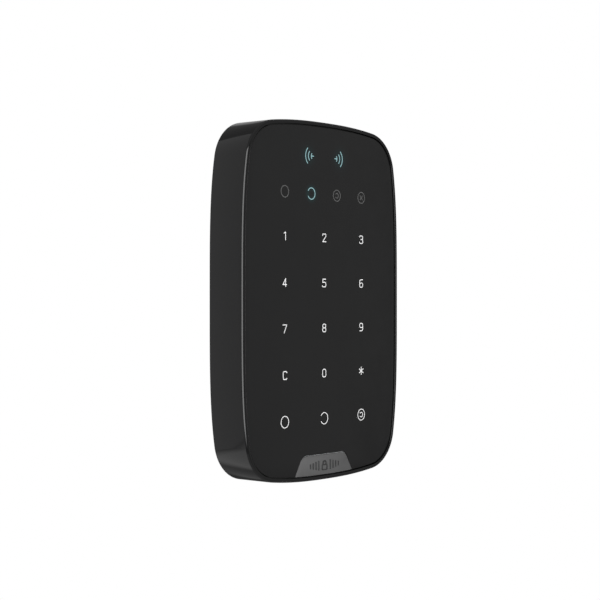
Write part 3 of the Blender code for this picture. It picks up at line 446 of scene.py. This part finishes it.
def make_housing(material):
    """Side wall, round front edge, lip and ledge, with the notch for the bracket's lip."""
    loops = [at_depth(outline(inset), depth) for inset, depth in housing_section()]
    housing = new_object("housing_shell", loft(loops, ring=True))
    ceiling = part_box("mounting_bracket")[0].z + LIP_THICKNESS + NOTCH_CLEARANCE
    pocket = block(-NOTCH_HALF - WALL, NOTCH_HALF + WALL, COVER_FRONT + GAP, NOTCH_FRONT + WALL,
                   WALL / 2 - HALF_HEIGHT, ceiling + CEILING)
    notch = block(-NOTCH_HALF, NOTCH_HALF, -GAP, NOTCH_FRONT, -HALF_HEIGHT - WALL, ceiling)
    bore = rod(0.0, LOCK_DEPTH, BORE_RADIUS, ceiling - GAP, ceiling + CEILING + GAP)
    combine(housing, pocket, "UNION")
    combine(housing, notch, "DIFFERENCE")
    combine(housing, bore, "DIFFERENCE")
    smooth(housing)
    piece(housing, material, stands_for=["front_housing"])


def make_panel(material):
    """Touch panel with a softened edge and the recess that the badge fills."""
    loops = [at_depth(outline(PANEL_INSET), PANEL_BACK)]
    for step in range(4):
        angle = math.radians(90 * step / 3)
        loops.append(at_depth(outline(PANEL_INSET + PANEL_EDGE * (1 - math.cos(angle))),
                              PANEL_FRONT - PANEL_EDGE * (1 - math.sin(angle))))
    panel = new_object("panel_face", loft(loops))
    recess = loft([at_depth(badge_outline(BADGE_GROOVE, -HALF_HEIGHT - WALL), PANEL_BACK - GAP),
                   at_depth(badge_outline(BADGE_GROOVE, -HALF_HEIGHT - WALL), FRONT)])
    combine(panel, recess, "DIFFERENCE")
    smooth(panel)
    piece(panel, material, stands_for=["touch_panel"])


def make_badge(material, mark_material):
    """Badge with softened edges and a raised padlock between bars that get shorter outwards."""
    loops = [at_depth(badge_outline(0.0), PANEL_BACK)]
    for step in range(3):
        angle = math.radians(45 * step)
        loops.append(at_depth(badge_outline(-BADGE_EDGE * (1 - math.cos(angle))),
                              PANEL_FRONT - BADGE_EDGE * (1 - math.sin(angle))))
    badge = new_object("badge_plate", loft(loops))
    smooth(badge)
    piece(badge, material, stands_for=["badge"])
    shackle = [(-1.1, 0.2), (-1.1, 1.9), (1.1, 1.9), (1.1, 0.2)]
    strokes = [(box_path(-1.75, 1.75, -2.1, 0.2), 0.3, True), (shackle, 1.1, False)]
    for side in (-1, 1):
        strokes += [([(side * x, -reach), (side * x, reach)], 0, False)
                    for x, reach in ((4.2, 2.1), (6.2, 1.7), (8.2, 1.3), (10.2, 0.9))]
    mark = draw("badge_mark", strokes, (0.0, MARK_MIDDLE), MARK_WIDTH,
                (PANEL_FRONT - MARK_ROOT, PANEL_FRONT + MARK_HEIGHT))
    piece(mark, mark_material)


def make_marks(white, lit, dim):
    """Everything that is printed on the panel or shines through it."""
    depths = (PANEL_FRONT - MARK_ROOT, PANEL_FRONT + MARK_RISE)
    for row, characters in zip(KEY_ROWS, ("123", "456", "789", "C0*")):
        for column, character in zip((-COLUMN, 0.0, COLUMN), characters):
            name = {"C": "clear", "*": "star"}.get(character, character)
            mark = draw(f"key_{name}", glyph(character), (column, row), KEY_STROKE, depths)
            piece(mark, white)
    inner = ring(1.1, gap=80)
    functions = {"arm": ring(FUNCTION_RADIUS), "disarm": ring(FUNCTION_RADIUS, gap=62),
                 "night": ring(FUNCTION_RADIUS) + inner}
    for column, (name, strokes) in zip((-COLUMN, 0.0, COLUMN), functions.items()):
        mark = draw(f"function_{name}", strokes, (column, FUNCTION_ROW), FUNCTION_STROKE, depths)
        piece(mark, white)
    cross = [([(-0.95, -0.95), (0.95, 0.95)], 0, False), ([(-0.95, 0.95), (0.95, -0.95)], 0, False)]
    dims = {-3: ring(STATUS_RADIUS), 1: ring(STATUS_RADIUS) + inner, 3: ring(STATUS_RADIUS) + cross}
    for place, strokes in dims.items():
        centre = (place * STATUS_COLUMN, STATUS_ROW)
        mark = draw(f"status_{place + 4}", strokes, centre, STATUS_STROKE, depths)
        piece(mark, dim)
    centre = (-STATUS_COLUMN, STATUS_ROW)
    mark = draw("status_lit", ring(STATUS_RADIUS, gap=62), centre, STATUS_STROKE, depths)
    piece(mark, lit)
    for side, name in ((-1, "left"), (1, "right")):
        mark = draw(f"wave_{name}", waves(side), (0.0, WAVE_ROW), WAVE_STROKE, depths)
        piece(mark, lit)


# ---------------------------------------------------------------- materials

class Surface:
    """A Principled material that is put together node by node, in the frame's metres."""

    def __init__(self, name, settings=None):
        self.material = bpy.data.materials.new(name)
        self.material.use_nodes = True
        self.tree = self.material.node_tree
        self.shader = self.tree.nodes["Principled BSDF"]
        self.place = self.node("TexCoord").outputs["Object"]
        for socket, value in (settings or {}).items():
            self.shader.inputs[socket].default_value = value

    def join(self, value, socket):
        """Give a socket another node's output or a plain value."""
        if isinstance(value, bpy.types.NodeSocket):
            self.tree.links.new(value, socket)
        elif isinstance(value, tuple) and len(value) == 3 and socket.type == "RGBA":
            socket.default_value = (*value, 1.0)
        else:
            socket.default_value = value

    def node(self, kind, inputs=None, **settings):
        """Add a node with its settings and inputs."""
        made = self.tree.nodes.new(f"ShaderNode{kind}")
        for name, value in settings.items():
            setattr(made, name, value)
        for name, value in (inputs or {}).items():
            self.join(value, made.inputs[name])
        return made

    def noise(self, size, detail=2.0, stretch=(1.0, 1.0, 1.0), distortion=0.0):
        """Noise from 0 to 1 whose blotches are about size metres across."""
        place = self.node("Mapping", {"Vector": self.place, "Scale": stretch}).outputs["Vector"]
        inputs = {"Vector": place, "Scale": 1 / size, "Detail": detail, "Distortion": distortion}
        return self.node("TexNoise", inputs).outputs["Fac"]

    def math(self, operation, first, second=0.0, clamp=False):
        """A Math node's value."""
        made = self.node("Math", {0: first, 1: second}, operation=operation, use_clamp=clamp)
        return made.outputs["Value"]

    def span(self, factor, low, high, start=0.3, stop=0.7):
        """The factor's range from start to stop, spread over low to high."""
        inputs = {"Value": factor, "From Min": start, "From Max": stop, "To Min": low, "To Max": high}
        return self.node("MapRange", inputs).outputs["Result"]

    def blend(self, factor, first, second):
        """A mix of two colours."""
        made = self.node("Mix", {0: factor, 6: first, 7: second}, data_type="RGBA")
        return made.outputs[2]

    def edges(self, radius, amount):
        """A mask that is high along the piece's edges."""
        bevel = self.node("Bevel", {"Radius": radius}, samples=6).outputs["Normal"]
        flat = self.node("NewGeometry").outputs["Normal"]
        match = self.node("VectorMath", {0: bevel, 1: flat}, operation="DOT_PRODUCT").outputs["Value"]
        return self.math("MULTIPLY", self.math("SUBTRACT", 1.0, match), amount, clamp=True)

    def set(self, socket, value):
        """Connect one of the shader's sockets."""
        self.join(value, self.shader.inputs[socket])

    def bump(self, height, distance):
        """Connect a bump whose full height is distance metres."""
        made = self.node("Bump", {"Height": height, "Distance": distance})
        self.set("Normal", made.outputs["Normal"])


def scaled(colour, factor):
    """A colour made lighter or darker."""
    return tuple(channel * factor for channel in colour)


def moulded(name, colour, gloss, grain, relief, edge_highlight=0.0, ior=1.5):
    """Moulded plastic: slight mottling, a fine surface grain, and edges painted lighter as a painted
    highlight and made a little rougher.
    """
    surface = Surface(name, {"IOR": ior})
    mottle = surface.noise(14 * MM, detail=4.0)
    fine = surface.noise(grain, detail=3.0)
    body = surface.blend(surface.span(mottle, 0.0, 1.0), scaled(colour, 0.92), scaled(colour, 1.08))
    body = surface.blend(surface.span(fine, 0.0, 0.5), body, scaled(colour, 1.25))
    smear = surface.noise(4 * MM, detail=5.0, stretch=(1.0, 1.0, 0.35), distortion=0.6)
    rough = surface.span(smear, *gloss)
    # Painted highlight: the edges are painted lighter in colour, and they are also made a little rougher.
    if edge_highlight:
        edge = surface.edges(0.35 * MM, 2.5)
        body = surface.blend(surface.math("MULTIPLY", edge, edge_highlight), body, scaled(colour, 2.2))
        rough = surface.math("ADD", rough, surface.math("MULTIPLY", edge, 0.08))
    surface.set("Base Color", body)
    surface.set("Roughness", rough)
    surface.bump(fine, relief)
    return surface.material


def metal(name, dull, bright, gloss, brush_way=(0.08, 1.0, 1.0)):
    """Bare or plated metal: fine brush lines and dull patches."""
    surface = Surface(name, {"Metallic": 1.0})
    brush = surface.noise(0.12 * MM, detail=3.0, stretch=brush_way)
    patch = surface.noise(2.5 * MM, detail=4.0)
    surface.set("Base Color", surface.blend(surface.span(patch, 0.0, 1.0), dull, bright))
    low, high = gloss
    rough = surface.math("ADD", surface.span(brush, low, high), surface.span(patch, 0.0, 0.1))
    surface.set("Roughness", rough)
    surface.bump(brush, 0.004 * MM)
    return surface.material


def halo(surface, place, radius, fade):
    """How strongly the panel glows near a circle, or near a point if the radius is 0."""
    split = surface.node("SeparateXYZ", {"Vector": surface.place})
    across = surface.math("SUBTRACT", split.outputs["X"], place[0])
    up = surface.math("SUBTRACT", split.outputs["Z"], place[1])
    reach = surface.node("CombineXYZ", {"X": across, "Y": up}).outputs["Vector"]
    away = surface.node("VectorMath", {0: reach}, operation="LENGTH").outputs["Value"]
    share = surface.math("DIVIDE", surface.math("SUBTRACT", away, radius), fade)
    return surface.math("EXPONENT", surface.math("MULTIPLY", surface.math("MULTIPLY", share, share), -1.0))


def panel_plastic():
    """Satin black touch panel that glows round its lit icons."""
    colour = (0.0125, 0.0125, 0.0127)
    surface = Surface("panel_plastic", {"IOR": 1.46, "Emission Color": (0.0, 0.2, 0.22, 1.0)})
    mottle = surface.noise(22 * MM, detail=4.0)
    grain = surface.noise(0.12 * MM)
    body = surface.blend(surface.span(mottle, 0.0, 1.0), scaled(colour, 0.94), scaled(colour, 1.06))
    surface.set("Base Color", surface.blend(surface.span(grain, 0.0, 1.0), scaled(colour, 0.85), body))
    smear = surface.noise(9 * MM, detail=5.0, distortion=0.8)
    surface.set("Roughness", surface.span(smear, 0.3, 0.38))
    surface.bump(grain, 0.002 * MM)
    glow = halo(surface, (-STATUS_COLUMN, STATUS_ROW), STATUS_RADIUS * MM, 1.3 * MM)
    for side in (-1, 1):
        glow = surface.math("ADD", glow, halo(surface, (side * 11.6 * MM, WAVE_ROW), 0.0, 3.6 * MM))
    surface.set("Emission Strength", surface.math("MULTIPLY", glow, 0.06))
    return surface.material


def metallic_paint(name, shade):
    """Grey metallic paint with a fine sparkle."""
    colour = (shade, shade, 1.005 * shade)
    surface = Surface(name, {"Metallic": 0.35})
    sparkle = surface.noise(0.16 * MM, detail=3.0)
    mottle = surface.noise(5 * MM, detail=3.0)
    body = surface.blend(surface.span(mottle, 0.0, 1.0), scaled(colour, 0.96), scaled(colour, 1.04))
    surface.set("Base Color", surface.blend(surface.span(sparkle, 0.0, 0.6), body, scaled(colour, 1.35)))
    surface.set("Roughness", surface.span(sparkle, 0.5, 0.38))
    surface.bump(sparkle, 0.006 * MM)
    return surface.material


def ink(name, colour, light, glow):
    """Printed mark: a slightly uneven film of ink that lets some light through from behind."""
    surface = Surface(name, {"Emission Color": (*light, 1.0)})
    film = surface.noise(0.5 * MM, detail=3.0)
    surface.set("Base Color", surface.blend(surface.span(film, 0.0, 1.0), scaled(colour, 0.9), colour))
    surface.set("Roughness", surface.span(film, 0.38, 0.5))
    surface.set("Emission Strength", surface.span(film, 0.9 * glow, 1.1 * glow))
    surface.bump(film, 0.003 * MM)
    return surface.material


def circuit_board():
    """Green solder mask with copper tracks that show through it."""
    surface = Surface("circuit_board", {"Coat Weight": 0.4})
    cells = surface.node("TexVoronoi", {"Vector": surface.place, "Scale": 1 / (2.2 * MM)},
                         feature="DISTANCE_TO_EDGE")
    tracks = surface.span(cells.outputs["Distance"], 1.0, 0.0, 0.06, 0.1)
    weave = surface.noise(0.4 * MM)
    base = surface.blend(surface.span(weave, 0.0, 1.0), (0.008, 0.075, 0.03), (0.012, 0.1, 0.04))
    surface.set("Base Color", surface.blend(tracks, base, (0.02, 0.16, 0.06)))
    surface.set("Roughness", surface.span(weave, 0.32, 0.45))
    surface.bump(tracks, 0.02 * MM)
    return surface.material


def cell_sleeve():
    """Shrink sleeve of a cell: a blue body with a paler band near one end."""
    surface = Surface("cell_sleeve", {"Coat Weight": 0.5})
    height = surface.node("SeparateXYZ", {"Vector": surface.place}).outputs["Z"]
    band = surface.math("GREATER_THAN", height, -30 * MM)
    ripple = surface.noise(3 * MM, detail=3.0)
    body = surface.blend(band, (0.03, 0.1, 0.26), (0.5, 0.52, 0.54))
    surface.set("Base Color", surface.blend(surface.span(ripple, 0.0, 0.3), body, (0.02, 0.05, 0.12)))
    surface.set("Roughness", surface.span(ripple, 0.2, 0.35))
    surface.bump(ripple, 0.03 * MM)
    return surface.material


def make_materials():
    """One material for each slot of the record."""
    fine = 0.35 * MM
    black = (0.0052, 0.0052, 0.0054)
    return {
        "shell": moulded("shell_plastic", black, (0.05, 0.09), fine, 0.0005 * MM, edge_highlight=0.35),
        "panel": panel_plastic(),
        "badge": metallic_paint("badge_paint", 0.158),
        "bracket": moulded("bracket_plastic", (0.08, 0.08, 0.082), (0.42, 0.55), fine, 0.02 * MM, edge_highlight=0.5),
        "cover": moulded("cover_plastic", (0.055, 0.055, 0.057), (0.4, 0.52), fine, 0.02 * MM, edge_highlight=0.4),
        "steel": metal("plated_steel", (0.42, 0.42, 0.43), (0.62, 0.62, 0.64), (0.16, 0.3)),
        "board": circuit_board(),
        "chip": moulded("chip_resin", (0.014, 0.014, 0.015), (0.35, 0.5), 0.2 * MM, 0.006 * MM),
        "copper": metal("copper_track", (0.55, 0.22, 0.1), (0.78, 0.36, 0.18), (0.25, 0.4)),
        "film": moulded("light_guide_film", (0.78, 0.8, 0.81), (0.18, 0.28), 0.8 * MM, 0.002 * MM),
        "adhesive": moulded("adhesive_foam", (0.03, 0.03, 0.03), (0.8, 0.95), 0.15 * MM, 0.03 * MM),
        "ferrite": moulded("ferrite_film", (0.06, 0.06, 0.063), (0.6, 0.75), 0.3 * MM, 0.01 * MM),
        "lamp": moulded("lamp_resin", (0.8, 0.76, 0.5), (0.15, 0.25), 0.3 * MM, 0.002 * MM),
        "tray": moulded("tray_plastic", (0.045, 0.045, 0.047), (0.45, 0.55), fine, 0.015 * MM),
        "cell": cell_sleeve(),
        "gold": metal("gold_plating", (0.62, 0.42, 0.14), (0.86, 0.62, 0.26), (0.18, 0.3)),
        "flex": moulded("flex_film", (0.42, 0.2, 0.04), (0.25, 0.35), 0.5 * MM, 0.004 * MM),
        "lead_red": moulded("red_sleeve", (0.45, 0.02, 0.02), (0.35, 0.45), fine, 0.008 * MM),
        "lead_black": moulded("black_sleeve", (0.015, 0.015, 0.015), (0.35, 0.45), fine, 0.008 * MM),
        "white_part": moulded("white_nylon", (0.72, 0.72, 0.7), (0.35, 0.45), fine, 0.008 * MM),
        "legend": ink("white_ink", (0.8, 0.8, 0.8), (1.0, 1.0, 1.0), 0.34),
        "icon_lit": ink("lit_icon", (0.1, 0.17, 0.18), (0.25, 0.42, 0.44), 0.9),
        "icon_dim": ink("dim_icon", (0.12, 0.12, 0.12), (1.0, 1.0, 1.0), 0.015),
    }


def dress_nodes(materials):
    """Give every CAD node that still shows its slot's material."""
    for part in frame["record"]["subparts"]:
        node = NODES[part["node"]]
        if node.hide_render:
            continue
        node.data.materials.clear()
        node.data.materials.append(materials[part["material_slot"]])


# ---------------------------------------------------------------- studio

def emitter(name, strength):
    """A plain glowing material. Returns it with its emission node."""
    material = bpy.data.materials.new(name)
    material.use_nodes = True
    tree = material.node_tree
    tree.nodes.clear()
    light = tree.nodes.new("ShaderNodeEmission")
    light.inputs["Strength"].default_value = strength
    output = tree.nodes.new("ShaderNodeOutputMaterial")
    tree.links.new(light.outputs["Emission"], output.inputs["Surface"])
    return material, light


def border_share(tree, size, fade):
    """A value that is 1 inside a card of the size and falls to 0 over the fade's width along its border."""
    place = tree.nodes.new("ShaderNodeSeparateXYZ")
    tree.links.new(tree.nodes.new("ShaderNodeTexCoord").outputs["Object"], place.inputs["Vector"])
    share = tree.nodes.new("ShaderNodeMath")
    share.operation = "MULTIPLY"
    for index, (axis, reach) in enumerate(zip("XY", size)):
        away = tree.nodes.new("ShaderNodeMath")
        away.operation = "ABSOLUTE"
        tree.links.new(place.outputs[axis], away.inputs[0])
        ramp = tree.nodes.new("ShaderNodeMapRange")
        ramp.interpolation_type = "SMOOTHSTEP"
        ramp.inputs["From Min"].default_value = reach / 2
        ramp.inputs["From Max"].default_value = reach / 2 - fade
        tree.links.new(away.outputs["Value"], ramp.inputs["Value"])
        tree.links.new(ramp.outputs["Result"], share.inputs[index])
    return share.outputs["Value"]


def soft_emitter(name, strength, size, fade):
    """A glowing material that turns clear along the border of its card."""
    material, light = emitter(name, strength)
    tree = material.node_tree
    mix = tree.nodes.new("ShaderNodeMixShader")
    clear = tree.nodes.new("ShaderNodeBsdfTransparent")
    tree.links.new(border_share(tree, size, fade), mix.inputs["Fac"])
    tree.links.new(clear.outputs["BSDF"], mix.inputs[1])
    tree.links.new(light.outputs["Emission"], mix.inputs[2])
    tree.links.new(mix.outputs["Shader"], tree.nodes["Material Output"].inputs["Surface"])
    return material


def stage_mesh(name, shape, material):
    """A stage object that the camera does not see."""
    thing = new_object(name, shape)
    thing.data.materials.append(material)
    thing.visible_camera = False
    return thing


def card(name, place, facing, size, strength, fade=0.0):
    """A light card at a place, turned along a direction."""
    width, height = size
    shape = bmesh.new()
    bmesh.ops.create_grid(shape, x_segments=1, y_segments=1, size=0.5)
    bmesh.ops.scale(shape, verts=shape.verts, vec=(width, height, 1.0))
    material = soft_emitter(name, strength, size, fade) if fade else emitter(name, strength)[0]
    thing = stage_mesh(name, shape, material)
    thing.location = place
    thing.rotation_euler = Vector(facing).to_track_quat("Z", "Y").to_euler()


def back_card(name, reach, left, right, bottom, top, strength, fade=0.0):
    """A light card upright behind the reader; its borders are shares of its distance from it."""
    middle = ((left + right) / 2 * reach, reach, (bottom + top) / 2 * reach)
    size = ((right - left) * reach, (top - bottom) * reach)
    card(name, middle, (0.0, -1.0, 0.0), size, strength, fade)


def make_cards():
    """The light cards: in front of the reader, under and over it, and behind it for its side wall."""
    card("key_light", (-1.15, -0.6, 0.18), (1.0, 0.55, -0.05), (2.2, 1.55), 4.3, fade=0.2)
    card("front_card", (1.05, -1.15, 0.35), (-1.05, 1.15, -0.3), (2.1, 2.2), 0.27, fade=0.35)
    card("table_card", (0.1, -0.9, -0.95), (0.0, 0.0, 1.0), (3.0, 2.6), 0.35, fade=0.15)
    card("ceiling_card", (0.1, -0.9, 1.3), (0.0, 0.0, -1.0), (3.6, 2.8), 0.35, fade=0.15)
    back_card("side_card", 2.0, -1.4, -0.21, -0.55, 1.4, 0.45)
    back_card("low_card", 2.2, -1.7, 0.04, -1.8, -0.42, 0.85, fade=0.8)
    back_card("floor_card", 2.4, -0.4, 0.9, -1.8, -0.7, 0.24, fade=0.5)
    back_card("wall_card", 2.6, -0.6, 0.8, 0.0, 1.6, 0.13)
    back_card("far_card", 2.4, 0.66, 1.5, 0.1, 0.95, 0.4, fade=0.4)


def make_studio():
    """Pale floor, a dark room that lights the reader faintly, and the light cards."""
    scene = bpy.context.scene
    scene.view_settings.view_transform = "Standard"
    world = bpy.data.worlds.new("studio")
    world.use_nodes = True
    world.node_tree.nodes["Background"].inputs["Color"].default_value = (1.0, 1.0, 1.0, 1.0)
    world.node_tree.nodes["Background"].inputs["Strength"].default_value = 1.0
    scene.world = world
    room = bmesh.new()
    bmesh.ops.create_icosphere(room, subdivisions=4, radius=ROOM_RADIUS)
    stage_mesh("room", room, emitter("room", ROOM_LIGHT)[0])
    floor_shape = bmesh.new()
    bmesh.ops.create_grid(floor_shape, x_segments=1, y_segments=1, size=FLOOR_HALF)
    floor = stage_mesh("floor", floor_shape, emitter("floor", 1.0)[0])
    floor.location.z = FLOOR
    floor.visible_camera = True
    floor.visible_diffuse = False
    floor.visible_glossy = False
    make_cards()


def make_camera():
    """The camera at the reference view."""
    data = bpy.data.cameras.new("camera")
    data.lens = LENS
    data.sensor_width = SENSOR_WIDTH
    camera = bpy.data.objects.new("camera", data)
    back = Vector((math.sin(AZIMUTH) * math.cos(ELEVATION), -math.cos(AZIMUTH) * math.cos(ELEVATION),
                   math.sin(ELEVATION)))
    camera.location = AIM + back * DISTANCE
    camera.rotation_euler = (-back).to_track_quat("-Z", "Y").to_euler()
    bpy.context.scene.collection.objects.link(camera)
    bpy.context.scene.camera = camera


MATERIALS = make_materials()
make_housing(MATERIALS["shell"])
make_panel(MATERIALS["panel"])
make_badge(MATERIALS["badge"], metallic_paint("badge_mark_paint", 0.05))
make_marks(MATERIALS["legend"], MATERIALS["icon_lit"], MATERIALS["icon_dim"])
dress_nodes(MATERIALS)
make_studio()
make_camera()
